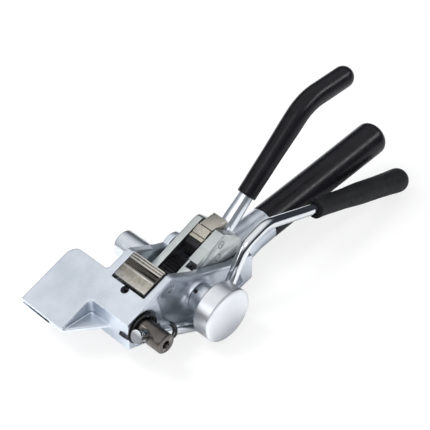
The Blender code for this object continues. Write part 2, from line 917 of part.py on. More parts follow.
coil_spring("pad_spring", -28.6, 40.2 + GAP, 46.2, 2.0, 4, 0.45)
coil_spring("pawl_spring", -97.6, 40.9 + GAP, 47.0, 1.8, 4, 0.4)


# ---------------------------------------------------------------- cutter group
shaft = turned(
    "cutter_shaft",
    [
        (0.0, 31.0),
        (2.7, 31.0),
        (2.7, SHAFT_END),
        (SHAFT_R - 0.7, SHAFT_END),
        (SHAFT_R, SHAFT_END - 0.7),
        (SHAFT_R, PADDLE_Y0 + 0.7),
        (SHAFT_R - 0.7, PADDLE_Y0 + 0.2),
        (0.0, PADDLE_Y0 + 0.2),
    ],
    (CUTTER[0], 0.0, CUTTER[1]),
    40,
    "dark_steel",
)
bar_dir = Vector((math.cos(BAR_TILT), 0.0, math.sin(BAR_TILT)))
bar_hole = turned(
    "cut_bar_hole",
    [(0.0, 20.0), (BAR_R + GAP, 20.0), (BAR_R + GAP, -20.0), (0.0, -20.0)],
    (CUTTER[0], BAR_Y, CUTTER[1]),
    24,
    direction=bar_dir,
)
boolean(shaft, bar_hole, "DIFFERENCE")
shaft_slot = slab(
    "cut_shaft_slot",
    (30.0, 32.0, BAND_SLOT_H),
    (CUTTER[0], BAND_SLOT_END - 16.0, 25.4),
    0.0,
)
boolean(shaft, shaft_slot, "DIFFERENCE")
shaft = finish_solid(shaft)
set_origin(shaft, CUTTER[0], 0.0, CUTTER[1])

set_screw = turned(
    "shaft_set_screw",
    [(0.0, 38.0), (1.2, 38.0), (1.2, 40.0), (2.0, 40.0), (2.4, 39.6), (2.4, 34.2), (0.0, 34.2)],
    (CUTTER[0], 0.0, CUTTER[1]),
    20,
    "black_steel",
)
finish_solid(set_screw)
set_origin(bpy.data.objects["shaft_set_screw"], CUTTER[0], 0.0, CUTTER[1])

through = Vector((CUTTER[0], BAR_Y, CUTTER[1]))
bar_corners = [
    through + bar_dir * 14.6,
    Vector((-67.6, BAR_Y, CUTTER[1] - (67.6 + CUTTER[0]) * math.tan(BAR_TILT))),
    Vector((-97.6, BAR_Y, 50.2)),
    Vector((-116.0, BAR_Y, 56.6)),
    Vector((-150.0, BAR_Y, 45.8)),
    Vector((-266.4, BAR_Y, 10.7)),
]
bar_path = rounded_path(bar_corners, [21.0, 14.0, 16.0, 30.0])
bar_length = lengths(bar_path)[-1]
BAR_TAPER = [(0.0, 4.6), (2.0, 4.6), (4.0, BAR_R), (400.0, BAR_R)]
cutter_bar = bar("cutter_bar", bar_path, 0.0, bar_length - 10.0, BAR_TAPER, 8.0, "chrome", 0.0, 3)
cutter_bar = finish_solid(cutter_bar, 40.0)
set_origin(cutter_bar, CUTTER[0], 0.0, CUTTER[1])
bar_mouth = bar_length - 107.4
CUTTER_GRIP = [
    (bar_mouth, 7.3),
    (bar_mouth + 8.0, 6.95),
    (bar_mouth + 27.0, 7.2),
    (bar_mouth + 54.0, 8.2),
    (bar_mouth + 72.0, 8.3),
    (bar_mouth + 83.0, 8.6),
    (bar_mouth + 96.0, 9.1),
    (bar_length, 9.1),
]
cutter_grip = sleeve(
    "cutter_grip",
    bar_path,
    bar_mouth,
    bar_length,
    CUTTER_GRIP,
    8.6,
    bar_length - 10.0,
    BAR_TAPER,
    "matt_grip",
)
set_origin(cutter_grip, CUTTER[0], 0.0, CUTTER[1])

# torsion spring: coils round the shaft, one leg into the front face and one hooked round the bar
COIL_R = 9.8
COIL_TURNS = 3.29
FIRST_ANGLE = math.radians(-6.0)
coil_out = 23.9
coil_in = 15.5
steps = 15
count = round(COIL_TURNS * steps)
front_leg = [(-1.9, 14.0, 27.2), (0.6, 14.0, 27.2), (1.7, 15.2, 27.3), (1.7, 21.0, 27.8), (0.4, 23.2, 27.8)]
coil = []
for i in range(count + 1):
    angle = FIRST_ANGLE - 2 * math.pi * i / steps
    y = coil_out + (coil_in - coil_out) * i / count
    coil.append((CUTTER[0] + COIL_R * math.cos(angle), y, CUTTER[1] + COIL_R * math.sin(angle)))
bar_up = Vector((-math.sin(BAR_TILT), 0.0, math.cos(BAR_TILT)))
hook_at = through - bar_dir * 18.0
hook_r = BAR_R + SPRING_WIRE + GAP
hook = []
for i in range(9):
    angle = math.radians(-110.0 + 28.0 * i)
    turn_y = Vector((0.0, math.cos(angle), 0.0))
    hook.append(tuple(hook_at + (turn_y + bar_up * math.sin(angle)) * hook_r))
side_leg = [(-14.6, 16.6, 17.4), (-17.5, 19.0, 16.2), (-21.0, 23.6, 14.7), (-24.5, 26.4, 14.6)]
spring_points = [Vector(point) for point in front_leg + coil + side_leg + hook]
spring = wire("torsion_spring", spring_points, [SPRING_WIRE] * len(spring_points), "black_steel", 2)
finish_solid(spring, 60.0)
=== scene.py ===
"""Looks of the ratchet band tensioner: rounded casting, turned and knurled steel, springs and grips.

Places are in the tool's own millimetres, as on a drawing: x is 0 at the block's front face and grows
to the nose, y is 0 on the mid-plane and grows to the knob, z is 0 at the belly.
"""

import json
import math

import bmesh
import bpy
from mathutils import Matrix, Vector


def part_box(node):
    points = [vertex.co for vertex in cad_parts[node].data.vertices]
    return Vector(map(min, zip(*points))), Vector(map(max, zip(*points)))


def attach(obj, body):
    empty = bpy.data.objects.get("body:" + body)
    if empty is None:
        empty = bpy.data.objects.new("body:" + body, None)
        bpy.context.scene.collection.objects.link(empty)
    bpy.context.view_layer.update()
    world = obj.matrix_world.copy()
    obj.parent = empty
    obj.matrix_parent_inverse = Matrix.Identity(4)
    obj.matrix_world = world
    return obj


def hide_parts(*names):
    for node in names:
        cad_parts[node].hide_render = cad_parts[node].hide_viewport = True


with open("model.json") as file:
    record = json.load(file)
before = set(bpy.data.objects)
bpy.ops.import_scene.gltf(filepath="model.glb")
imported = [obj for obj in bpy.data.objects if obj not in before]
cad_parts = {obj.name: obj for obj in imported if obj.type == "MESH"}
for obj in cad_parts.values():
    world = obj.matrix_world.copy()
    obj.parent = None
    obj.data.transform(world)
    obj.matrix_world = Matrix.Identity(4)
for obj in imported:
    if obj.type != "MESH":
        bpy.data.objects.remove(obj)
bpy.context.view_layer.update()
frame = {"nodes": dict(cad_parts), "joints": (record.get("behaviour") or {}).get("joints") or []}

# ---------------------------------------------------------------- places and sizes, in millimetres
MM = 0.001
NOSE_REACH = 25.4
PADDLE_EDGE = -54.5
frame_low, frame_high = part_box("frame")
ORIGIN = Vector((frame_high.x - NOSE_REACH * MM, frame_low.y - PADDLE_EDGE * MM, frame_low.z))
JOINTS = {joint["name"]: joint["pos_m"] for joint in frame["joints"]}


def joint_xz(name):
    """A joint axis's place in the tool's millimetres."""
    spot = JOINTS[name]
    return ((spot[0] - ORIGIN.x) / MM, (spot[2] - ORIGIN.z) / MM)


WINDLASS = joint_xz("windlass_spin")
CUTTER = joint_xz("cutter_swing")
PAD_PIN = joint_xz("pad_press")

NOSE_TILT = math.radians(20.8)
NOSE_H = 38.0
BODY_HALF = 21.0
BOSS_FACE = 22.2
JOURNAL_R = 8.0
MANDREL_R = 10.2
MANDREL_END = -52.4
HUB_R = 10.6
KNOB_R = 19.7
KNOB_BACK = 36.0
KNOB_FACE = 49.8
SPINDLE_R = 6.0
SPINDLE_END = KNOB_FACE - 3.4
SHAFT_R = 7.1
SHAFT_END = 43.0
BAR_Y = 29.5
BAR_R = 3.9
BAR_TILT = math.radians(26.9)
HANDLE_START = (-146.5, 21.2)
HANDLE_TILT = math.radians(6.6)
HANDLE_LENGTH = 123.4
GRIP_R = 12.4
CORE_R = 9.7
ROD_TILT = math.radians(41.3)
ROD_Y = 0.3
ROD_BASE = (-110.4, 43.5)
ROD_BEND_X = -184.0
ROD_MOUTH = 34.2
PAD_LEFT = -14.0
PAD_RIGHT = 14.4
BAND_LIFT = 1.15
CHECKER_PITCH = 0.95
PIN_R = 2.5
GAP = 0.3
WELD = 0.003

# radius by distance along the lever rod and along the cutter bar
ROD_ROWS = [(0.0, 5.7), (9.0, 6.3), (16.0, 6.2), (37.0, 5.2), (200.0, 5.0)]
BAR_ROWS = [(0.0, 4.5), (1.9, 4.6), (2.6, 4.2), (3.4, BAR_R), (400.0, BAR_R)]

ALONG_Y = Vector((0.0, 1.0, 0.0))
ALONG_Z = Vector((0.0, 0.0, 1.0))
ALONG_BAR = Vector((math.cos(BAR_TILT), 0.0, math.sin(BAR_TILT)))


def at(x, y, z):
    """A point of the tool, in metres."""
    return ORIGIN + Vector((x, y, z)) * MM


def on_axis(axis, y=0.0):
    """The point of a joint's axis at y, in metres."""
    return at(axis[0], y, axis[1])


def nose_z(x, lift=0.0):
    """Height of the sloping nose plane at x, lifted along its normal."""
    return NOSE_H - x * math.tan(NOSE_TILT) + lift / math.cos(NOSE_TILT)


def on_nose(x, lift):
    """The (x, z) place over the nose plane at x, lifted along its normal."""
    return (x, nose_z(x, lift))


# ---------------------------------------------------------------- materials
class Finish:
    """Builds one procedural material: textures in object space, and, from the mesh's edges, rubbed wear
    with painted highlight on convex edges and dirt with painted shade in grooves.
    """

    def __init__(self, name, rough, metal):
        self.material = bpy.data.materials.new(name)
        self.material.use_nodes = True
        self.tree = self.material.node_tree
        self.shader = self.tree.nodes["Principled BSDF"]
        self.shader.inputs["Metallic"].default_value = metal
        self.shader.inputs["Roughness"].default_value = rough
        self.coords = self.tree.nodes.new("ShaderNodeTexCoord")

    def link(self, source, target):
        """Join an output to an input."""
        self.tree.links.new(source, target)

    def noise(self, scale, detail=3.0, stretch=(1.0, 1.0, 1.0), distortion=0.0):
        """Noise of about scale features a metre; a small stretch factor draws them out along that axis."""
        mapping = self.tree.nodes.new("ShaderNodeMapping")
        mapping.inputs["Scale"].default_value = stretch
        self.link(self.coords.outputs["Object"], mapping.inputs["Vector"])
        texture = self.tree.nodes.new("ShaderNodeTexNoise")
        texture.inputs["Scale"].default_value = scale
        texture.inputs["Detail"].default_value = detail
        texture.inputs["Distortion"].default_value = distortion
        self.link(mapping.outputs["Vector"], texture.inputs["Vector"])
        return texture.outputs["Fac"]

    def bands(self, direction, pitch):
        """Soft bands across an axis, a pitch in millimetres apart."""
        texture = self.tree.nodes.new("ShaderNodeTexWave")
        texture.bands_direction = direction
        texture.inputs["Scale"].default_value = 2 * math.pi / (20.0 * pitch * MM)
        self.link(self.coords.outputs["Object"], texture.inputs["Vector"])
        return texture.outputs["Fac"]

    def spread(self, value, low, high, to_low=0.0, to_high=1.0):
        """Map a value's range onto another range, clamped."""
        node = self.tree.nodes.new("ShaderNodeMapRange")
        node.inputs["From Min"].default_value = low
        node.inputs["From Max"].default_value = high
        node.inputs["To Min"].default_value = to_low
        node.inputs["To Max"].default_value = to_high
        self.link(value, node.inputs["Value"])
        return node.outputs["Result"]

    def colours(self, value, dark, light):
        """Mix two colours by a value."""
        node = self.tree.nodes.new("ShaderNodeMix")
        node.data_type = "RGBA"
        node.inputs["A"].default_value = (*dark, 1.0)
        node.inputs["B"].default_value = (*light, 1.0)
        self.link(value, node.inputs["Factor"])
        return node.outputs["Result"]

    def over(self, factor, under, colour):
        """Lay a colour over another by a factor."""
        node = self.tree.nodes.new("ShaderNodeMix")
        node.data_type = "RGBA"
        node.inputs["B"].default_value = (*colour, 1.0)
        self.link(under, node.inputs["A"])
        self.link(factor, node.inputs["Factor"])
        return node.outputs["Result"]

    def edge_wear_and_highlight(self, under, colour, start=0.53, end=0.60):
        """Lay a colour on the convex edges of a dense mesh: part rubbed wear, part painted highlight."""
        geometry = self.tree.nodes.new("ShaderNodeNewGeometry")
        return self.over(self.spread(geometry.outputs["Pointiness"], start, end), under, colour)

    def grime_and_shade(self, under, colour, start=0.47, end=0.42):
        """Lay a colour in the grooves of a dense mesh: part dirt, part painted shade."""
        geometry = self.tree.nodes.new("ShaderNodeNewGeometry")
        return self.over(self.spread(geometry.outputs["Pointiness"], start, end), under, colour)

    def base(self, output):
        """Use an output as the colour."""
        self.link(output, self.shader.inputs["Base Color"])

    def rough(self, output):
        """Use an output as the roughness."""
        self.link(output, self.shader.inputs["Roughness"])

    def bump(self, *layers):
        """Bump from (height, strength, distance in mm) layers, one on another."""
        before = None
        for height, strength, distance in layers:
            node = self.tree.nodes.new("ShaderNodeBump")
            node.inputs["Strength"].default_value = strength
            node.inputs["Distance"].default_value = distance * MM
            self.link(height, node.inputs["Height"])
            if before:
                self.link(before, node.inputs["Normal"])
            before = node.outputs["Normal"]
        self.link(before, self.shader.inputs["Normal"])


def cast_zinc():
    """Bright zinc plating on a blasted casting: fine grain, cloudy patches, and rubbed edges lightened
    partly as painted highlight.
    """
    f = Finish("cast_zinc", 0.36, 1.0)
    clouds = f.spread(f.noise(45.0, 4.0, distortion=0.6), 0.35, 0.68)
    colour = f.colours(clouds, (0.60, 0.65, 0.72), (0.72, 0.765, 0.83))
    specks = f.spread(f.noise(1500.0, 2.0), 0.62, 0.74)
    colour = f.over(specks, colour, (0.80, 0.84, 0.89))
    # The lighter colour on convex edges is part rubbed wear, part painted highlight.
    f.base(f.edge_wear_and_highlight(colour, (0.86, 0.89, 0.93)))
    f.rough(f.spread(f.noise(160.0, 4.0), 0.3, 0.75, 0.29, 0.46))
    f.bump((f.noise(420.0, 3.0), 0.22, 0.25), (f.noise(2100.0, 2.0), 0.20, 0.08))
    return f.material


def turned_zinc(name="turned_zinc", stretch=(0.04, 1.0, 0.04)):
    """Satin zinc on turned or sawn steel, with fine tool marks."""
    f = Finish(name, 0.30, 1.0)
    clouds = f.spread(f.noise(70.0, 3.0), 0.3, 0.7)
    f.base(f.colours(clouds, (0.62, 0.655, 0.70), (0.74, 0.77, 0.81)))
    marks = f.noise(1300.0, 3.0, stretch)
    f.rough(f.spread(marks, 0.3, 0.7, 0.26, 0.34))
    f.bump((marks, 0.05, 0.04))
    return f.material


def rod_zinc():
    """Zinc on the drawn lever rod, with marks along it."""
    return turned_zinc("rod_zinc", (0.06, 1.0, 0.06))


def knob_zinc():
    """Satin zinc of the knob."""
    f = Finish("knob_zinc", 0.34, 1.0)
    clouds = f.spread(f.noise(50.0, 3.0), 0.3, 0.7)
    f.base(f.colours(clouds, (0.68, 0.70, 0.735), (0.78, 0.80, 0.83)))
    f.rough(f.spread(f.noise(420.0, 3.0), 0.3, 0.7, 0.30, 0.42))
    f.bump((f.noise(1500.0, 2.0), 0.10, 0.05))
    return f.material


def plate_zinc():
    """Zinc on sheared side plates: flatter, greener and duller."""
    f = Finish("plate_zinc", 0.36, 1.0)
    clouds = f.spread(f.noise(90.0, 4.0, distortion=0.4), 0.3, 0.7)
    colour = f.colours(clouds, (0.46, 0.49, 0.49), (0.60, 0.63, 0.63))
    # The pale colour on convex edges is part rubbed wear, part painted highlight.
    f.base(f.edge_wear_and_highlight(colour, (0.85, 0.87, 0.88), 0.54, 0.66))
    f.rough(f.spread(f.noise(300.0, 3.0), 0.3, 0.7, 0.28, 0.42))
    f.bump((f.noise(900.0, 3.0), 0.18, 0.10))
    return f.material


def bare_steel():
    """Brown-grey ground steel of the thumb pad, with grinding lines along Y."""
    f = Finish("bare_steel", 0.34, 1.0)
    lines = f.noise(900.0, 3.0, (1.0, 0.25, 1.0))
    blotch = f.noise(420.0, 4.0, distortion=0.8)
    colour = f.colours(f.spread(blotch, 0.34, 0.66), (0.28, 0.26, 0.215), (0.47, 0.45, 0.405))
    colour = f.over(f.spread(f.noise(150.0, 3.0), 0.42, 0.72, 0.0, 0.5), colour, (0.36, 0.33, 0.26))
    # The near-black colour in the grooves is part dirt, part painted shade.
    colour = f.grime_and_shade(colour, (0.05, 0.047, 0.04))
    # The pale colour on convex edges is part rubbed wear, part painted highlight.
    f.base(f.edge_wear_and_highlight(colour, (0.74, 0.73, 0.71), 0.53, 0.60))
    f.rough(f.spread(lines, 0.3, 0.7, 0.30, 0.46))
    f.bump((lines, 0.15, 0.08), (f.noise(1800.0, 2.0), 0.18, 0.06))
    return f.material


def checkered_steel():
    """The pad's checkered band: grooves both ways darkened with painted shade, between dull ridges."""
    f = Finish("checkered_steel", 0.40, 1.0)
    across = f.bands("X", CHECKER_PITCH)
    along = f.bands("Y", CHECKER_PITCH)
    # The near-black bands both ways are painted shade in the grooves between the dull ridges.
    colour = f.colours(f.spread(across, 0.25, 0.75), (0.022, 0.021, 0.019), (0.26, 0.245, 0.215))
    colour = f.over(f.spread(along, 0.55, 0.15, 0.0, 0.75), colour, (0.030, 0.028, 0.025))
    f.base(colour)
    f.rough(f.spread(f.noise(600.0, 3.0), 0.3, 0.7, 0.34, 0.50))
    f.bump((across, 0.6, 0.15), (along, 0.4, 0.10))
    return f.material


def nickel():
    """Warm grey pawl steel with a fine sparkle."""
    f = Finish("pawl_nickel", 0.34, 1.0)
    grain = f.spread(f.noise(1200.0, 3.0), 0.35, 0.7)
    colour = f.colours(grain, (0.44, 0.41, 0.355), (0.60, 0.575, 0.52))
    f.base(f.over(f.spread(f.noise(130.0, 3.0), 0.45, 0.75, 0.0, 0.5), colour, (0.40, 0.36, 0.30)))
    f.rough(f.spread(f.noise(500.0, 3.0), 0.3, 0.7, 0.27, 0.42))
    f.bump((f.noise(1500.0, 3.0), 0.25, 0.07))
    return f.material


def dark_steel():
    """Brown-grey turned steel of the cutter shaft, with rings from the lathe."""
    f = Finish("dark_steel", 0.32, 1.0)
    rings = f.noise(1100.0, 2.0, (0.03, 1.0, 0.03))
    clouds = f.spread(f.noise(120.0, 4.0), 0.3, 0.7)
    colour = f.colours(clouds, (0.075, 0.068, 0.063), (0.15, 0.138, 0.128))
    # The pale colour on convex edges is part rubbed wear, part painted highlight.
    f.base(f.edge_wear_and_highlight(colour, (0.42, 0.40, 0.38), 0.54, 0.66))
    f.rough(f.spread(rings, 0.3, 0.7, 0.24, 0.40))
    f.bump((rings, 0.20, 0.08))
    return f.material


def black_oxide(name="black_oxide", dark=(0.010, 0.010, 0.011), light=(0.030, 0.030, 0.033)):
    """Oiled black steel of screws, gear, pawl tooth and springs."""
    f = Finish(name, 0.42, 0.6)
    clouds = f.spread(f.noise(260.0, 4.0), 0.35, 0.7)
    f.base(f.colours(clouds, dark, light))
    f.rough(f.spread(f.noise(700.0, 3.0), 0.3, 0.7, 0.32, 0.52))
    f.bump((f.noise(1400.0, 2.0), 0.12, 0.05))
    return f.material


def chrome():
    """Polished chrome of the cutter bar, very slightly uneven and darker on its head."""
    f = Finish("bar_chrome", 0.07, 1.0)
    colour = f.colours(f.spread(f.noise(60.0, 2.0), 0.3, 0.7), (0.66, 0.685, 0.71), (0.74, 0.76, 0.78))
    parts = f.tree.nodes.new("ShaderNodeSeparateXYZ")
    f.link(f.coords.outputs["Object"], parts.inputs["Vector"])
    head = f.spread(parts.outputs["X"], at(-1.6, 0.0, 0.0).x, at(0.2, 0.0, 0.0).x)
    f.base(f.over(head, colour, (0.20, 0.21, 0.225)))
    f.rough(f.spread(f.noise(400.0, 3.0), 0.35, 0.75, 0.045, 0.13))
    f.bump((f.noise(120.0, 2.0), 0.10, 0.10))
    return f.material


def gloss_vinyl():
    """Dipped black vinyl: glossy, with a slow ripple in the skin."""
    f = Finish("gloss_vinyl", 0.2, 0.0)
    clouds = f.spread(f.noise(110.0, 3.0), 0.3, 0.7)
    f.base(f.colours(clouds, (0.0062, 0.0060, 0.0078), (0.0105, 0.0100, 0.0130)))
    f.rough(f.spread(f.noise(190.0, 4.0), 0.3, 0.75, 0.22, 0.33))
    f.bump((f.noise(75.0, 2.0), 0.10, 0.30))
    f.shader.inputs["Specular IOR Level"].default_value = 0.17
    return f.material


def matt_rubber():
    """Matt black rubber with light dust specks."""
    f = Finish("matt_rubber", 0.55, 0.0)
    clouds = f.spread(f.noise(130.0, 3.0), 0.3, 0.7)
    colour = f.colours(clouds, (0.0065, 0.0066, 0.0078), (0.0115, 0.0116, 0.0130))
    specks = f.spread(f.noise(620.0, 2.0), 0.735, 0.80, 0.0, 0.5)
    f.base(f.over(specks, colour, (0.13, 0.13, 0.14)))
    f.rough(f.spread(f.noise(350.0, 3.0), 0.3, 0.75, 0.44, 0.66))
    f.bump((f.noise(1300.0, 3.0), 0.35, 0.12))
    f.shader.inputs["Specular IOR Level"].default_value = 0.17
    return f.material


CAST = cast_zinc()
TURNED = turned_zinc()
ROD = rod_zinc()
KNOB = knob_zinc()
PLATE = plate_zinc()
STEEL = bare_steel()
NICKEL = nickel()
DARK = dark_steel()
BLACK = black_oxide()
WIRE = black_oxide("spring_wire", (0.030, 0.031, 0.034), (0.065, 0.067, 0.072))
CHECKERED = checkered_steel()
CHROME = chrome()
VINYL = gloss_vinyl()
RUBBER = matt_rubber()


# ---------------------------------------------------------------- mesh making
def new_piece(name, mesh, material, sharp=32.0):
    """Link a mesh as a piece with its material, smooth except at sharp edges."""
    obj = bpy.data.objects.new(name, mesh)
    bpy.context.scene.collection.objects.link(obj)
    mesh.materials.append(material)
    mesh.shade_smooth()
    mesh.set_sharp_from_angle(angle=math.radians(sharp))
    return obj


def seal(work, mesh_name):
    """Write a bmesh to a new mesh with outward normals."""
    bmesh.ops.recalc_face_normals(work, faces=work.faces)
    mesh = bpy.data.meshes.new(mesh_name)
    work.to_mesh(mesh)
    work.free()
    return mesh


def settle(obj, sharp=32.0):
    """Apply an object's modifiers to its mesh."""
    graph = bpy.context.evaluated_depsgraph_get()
    graph.update()
    mesh = bpy.data.meshes.new_from_object(obj.evaluated_get(graph))
    obj.modifiers.clear()
    obj.data = mesh
    mesh.shade_smooth()
    mesh.set_sharp_from_angle(angle=math.radians(sharp))


def frame_of(direction):
    """Two unit vectors that span the plane across a direction."""
    direction = direction.normalized()
    side = Vector((0.0, 1.0, 0.0)) if abs(direction.y) < 0.9 else Vector((1.0, 0.0, 0.0))
    one = (side - direction * side.dot(direction)).normalized()
    return one, direction.cross(one)


def lathe(name, profile, centre, direction, steps, material, closed=False, shape=None):
    """Turn (radius, distance) points about an axis; shape(radius, distance, angle) may alter a radius."""
    work = bmesh.new()
    one, two = frame_of(direction)
    rings = []
    for radius, along in profile:
        base = centre + direction * along * MM
        if radius == 0.0:
            rings.append([work.verts.new(base)])
            continue
        ring = []
        for i in range(steps):
            angle = 2 * math.pi * i / steps
            spoke = one * math.cos(angle) + two * math.sin(angle)
            reach = shape(radius, along, angle) if shape else radius
            ring.append(work.verts.new(base + spoke * reach * MM))
        rings.append(ring)
    pairs = list(zip(rings, rings[1:]))
    if closed:
        pairs.append((rings[-1], rings[0]))
    for a, b in pairs:
        for i in range(steps):
            j = (i + 1) % steps
            if len(a) == 1 and len(b) > 1:
                work.faces.new((a[0], b[i], b[j]))
            elif len(b) == 1 and len(a) > 1:
                work.faces.new((a[i], a[j], b[0]))
            elif len(a) > 1:
                work.faces.new((a[i], a[j], b[j], b[i]))
    return new_piece(name, seal(work, name), material)


def loft(name, path, radii, sides, material, sharp=40.0):
    """A round bar along a path in metres, with a radius in mm at each point and closed ends."""
    work = bmesh.new()
    tangents = []
    for i in range(len(path)):
        before = path[max(0, i - 1)]
        after = path[min(len(path) - 1, i + 1)]
        tangents.append((after - before).normalized())
    one, _ = frame_of(tangents[0])
    rings = []
    for point, tangent, radius in zip(path, tangents, radii):
        one = (one - tangent * one.dot(tangent)).normalized()
        two = tangent.cross(one)
        ring = []
        for i in range(sides):
            angle = 2 * math.pi * i / sides
            spoke = one * math.cos(angle) + two * math.sin(angle)
            ring.append(work.verts.new(point + spoke * radius * MM))
        rings.append(ring)
    for a, b in zip(rings, rings[1:]):
        for i in range(sides):
            j = (i + 1) % sides
            work.faces.new((a[i], a[j], b[j], b[i]))
    for ring, spot in ((rings[0], path[0]), (rings[-1], path[-1])):
        middle = work.verts.new(spot)
        for i in range(sides):
            work.faces.new((ring[i], ring[(i + 1) % sides], middle))
    return new_piece(name, seal(work, name), material, sharp)


def prism(name, points, y0, y1, material):
    """An outline of (x, z) points between two planes across Y."""
    work = bmesh.new()
    near = [work.verts.new(at(x, y0, z)) for x, z in points]
    face = work.faces.new(near)
    far = bmesh.ops.extrude_face_region(work, geom=[face])
    moved = [item for item in far["geom"] if isinstance(item, bmesh.types.BMVert)]
    bmesh.ops.translate(work, verts=moved, vec=Vector((0.0, (y1 - y0) * MM, 0.0)))
    return new_piece(name, seal(work, name), material)


def round_edges(obj, width, segments, angle):
    """Round every edge sharper than an angle."""
    mod = obj.modifiers.new("round", "BEVEL")
    mod.width = width * MM
    mod.segments = segments
    mod.limit_method = "ANGLE"
    mod.angle_limit = math.radians(angle)
    mod.miter_outer = "MITER_ARC"


def carve(target, tool):
    """Cut a tool solid out of a piece and drop the tool."""
    mod = target.modifiers.new("carve", "BOOLEAN")
    mod.object = tool
    mod.operation = "DIFFERENCE"
    mod.solver = "EXACT"
    settle(target)
    bpy.data.objects.remove(tool, do_unlink=True)


def copied(name, node, material):
    """A welded, cleaned copy of a CAD node's mesh, as a new piece."""
    work = bmesh.new()
    work.from_mesh(frame["nodes"][node].data)
    bmesh.ops.remove_doubles(work, verts=work.verts, dist=WELD * MM)
    nearly_flat = math.radians(0.6)
    bmesh.ops.dissolve_limit(work, angle_limit=nearly_flat, verts=work.verts, edges=work.edges)
    return new_piece(name, seal(work, name), material)


def molten(name, node, material, voxel, rounds):
    """A copy of a CAD node with all its edges and corners softened, as on a casting or a forging."""
    obj = copied(name, node, material)
    remesh = obj.modifiers.new("even", "REMESH")
    remesh.mode = "VOXEL"
    remesh.voxel_size = voxel * MM
    remesh.use_smooth_shade = True
    smooth = obj.modifiers.new("soft", "SMOOTH")
    smooth.factor = 0.5
    smooth.iterations = rounds
    settle(obj, 60.0)
    return obj


def placed(obj, body, node):
    """Let a piece ride on a body and stand for a CAD node, which is hidden."""
    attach(obj, body)
    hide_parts(node)


def rounded_path(corners, radii):
    """Straight runs whose corners are arcs, with a point about every 3 degrees."""
    step = 3.0
    path = [Vector(corners[0])]
    for i in range(1, len(corners) - 1):
        corner = Vector(corners[i])
        one = (Vector(corners[i - 1]) - corner).normalized()
        two = (Vector(corners[i + 1]) - corner).normalized()
        half = one.angle(two) / 2
        radius = radii[i - 1]
        middle = corner + (one + two).normalized() * radius / math.sin(half)
        first = corner + one * radius / math.tan(half) - middle
        last = corner + two * radius / math.tan(half) - middle
        count = max(2, int(math.degrees(first.angle(last)) / step))
        for k in range(count + 1):
            path.append(middle + first.slerp(last, k / count).normalized() * radius)
    path.append(Vector(corners[-1]))
    return path


def stretch_of(path, start, end, spacing):
    """Points, and their distances along the path, at an even spacing on a stretch of it."""
    marks = [0.0]
    for one, two in zip(path, path[1:]):
        marks.append(marks[-1] + (two - one).length)
    end = min(end, marks[-1])
    count = max(2, round((end - start) / spacing))
    points = []
    wants = []
    for i in range(count + 1):
        want = start + (end - start) * i / count
        j = max(k for k, mark in enumerate(marks[:-1]) if mark <= want + 1e-9)
        share = (want - marks[j]) / (marks[j + 1] - marks[j])
        points.append(path[j].lerp(path[j + 1], share))
        wants.append(want)
    return points, wants


def in_world(points):
    """Points of the tool, in metres."""
    return [ORIGIN + point * MM for point in points]


def path_length(path):
    """Length of a path."""
    return sum((two - one).length for one, two in zip(path, path[1:]))


def table(value, rows):
    """Lookup in (input, output) rows, eased between them."""
    for (x0, y0), (x1, y1) in zip(rows, rows[1:]):
        if value <= x1:
            share = max(0.0, (value - x0) / (x1 - x0))
            share = share * share * (3 - 2 * share)
            return y0 + (y1 - y0) * share
    return rows[-1][1]


def domed(points, radii, depth):
    """Replace the last stretch of a bar by an elliptic dome of a depth."""
    steps = 10
    least_r = 0.05
    direction = (points[-1] - points[-2]).normalized()
    tip = points[-1]
    while (points[-1] - tip).length < depth:
        points = points[:-1]
        radii = radii[:-1]
    base = tip - direction * depth
    widest = radii[-1]
    for i in range(steps + 1):
        angle = math.pi / 2 * i / steps
        points.append(base + direction * depth * math.sin(angle))
        radii.append(max(least_r, widest * math.cos(angle)))
    return points, radii


def sleeve(name, path, mouth, end, rows, core_rows, core_end, material, dome):
    """A dipped grip: outer skin, rounded lip and a bore that holds the bar with a little room."""
    room = 0.35
    points, marks = stretch_of(path, mouth, end, 1.6)
    radii = [table(mark, rows) for mark in marks]
    lip = [(0.0, 0.45), (0.25, 0.18), (0.6, 0.0)]
    outer_points = []
    outer_radii = []
    for forward, less in lip:
        spot, _ = stretch_of(path, mouth + forward, mouth + forward + 1.0, 1.0)
        outer_points.append(spot[0])
        outer_radii.append(radii[0] - less)
    for point, mark, radius in zip(points, marks, radii):
        if mark > mouth + 1.0:
            outer_points.append(point)
            outer_radii.append(radius)
    outer_points, outer_radii = domed(outer_points, outer_radii, dome)
    skin = loft(name, in_world(outer_points), outer_radii, 64, material, 60.0)
    core_points, core_marks = stretch_of(path, mouth - 4.0, core_end + 0.4, 3.0)
    core_radii = [table(mark, core_rows) + room for mark in core_marks]
    core = loft("core", in_world(core_points), core_radii, 48, material)
    carve(skin, core)
    skin.data.set_sharp_from_angle(angle=math.radians(50.0))
    return skin


def plug(name, radius, start, end, centre, direction, sides, material):
    """A plain round or hexagonal solid between two distances along an axis, as a cutter."""
    profile = [(0.0, end), (radius, end), (radius, start), (0.0, start)]
    return lathe(name, profile, centre, direction, sides, material)


def hex_socket(name, centre, direction, profile, key_r, start, end):
    """A turned black screw with a hexagon socket between two distances along its axis."""
    head = lathe(name, profile, centre, direction, 48, BLACK)
    key = plug("key", key_r, start, end, centre, direction, 6, BLACK)
    carve(head, key)
    return head


# ---------------------------------------------------------------- frame body
def build_casting():
    """The frame, as a casting with soft edges."""
    voxel = 0.45
    casting = molten("frame_casting", "frame", CAST, voxel, 4)
    placed(casting, "frame", "frame")


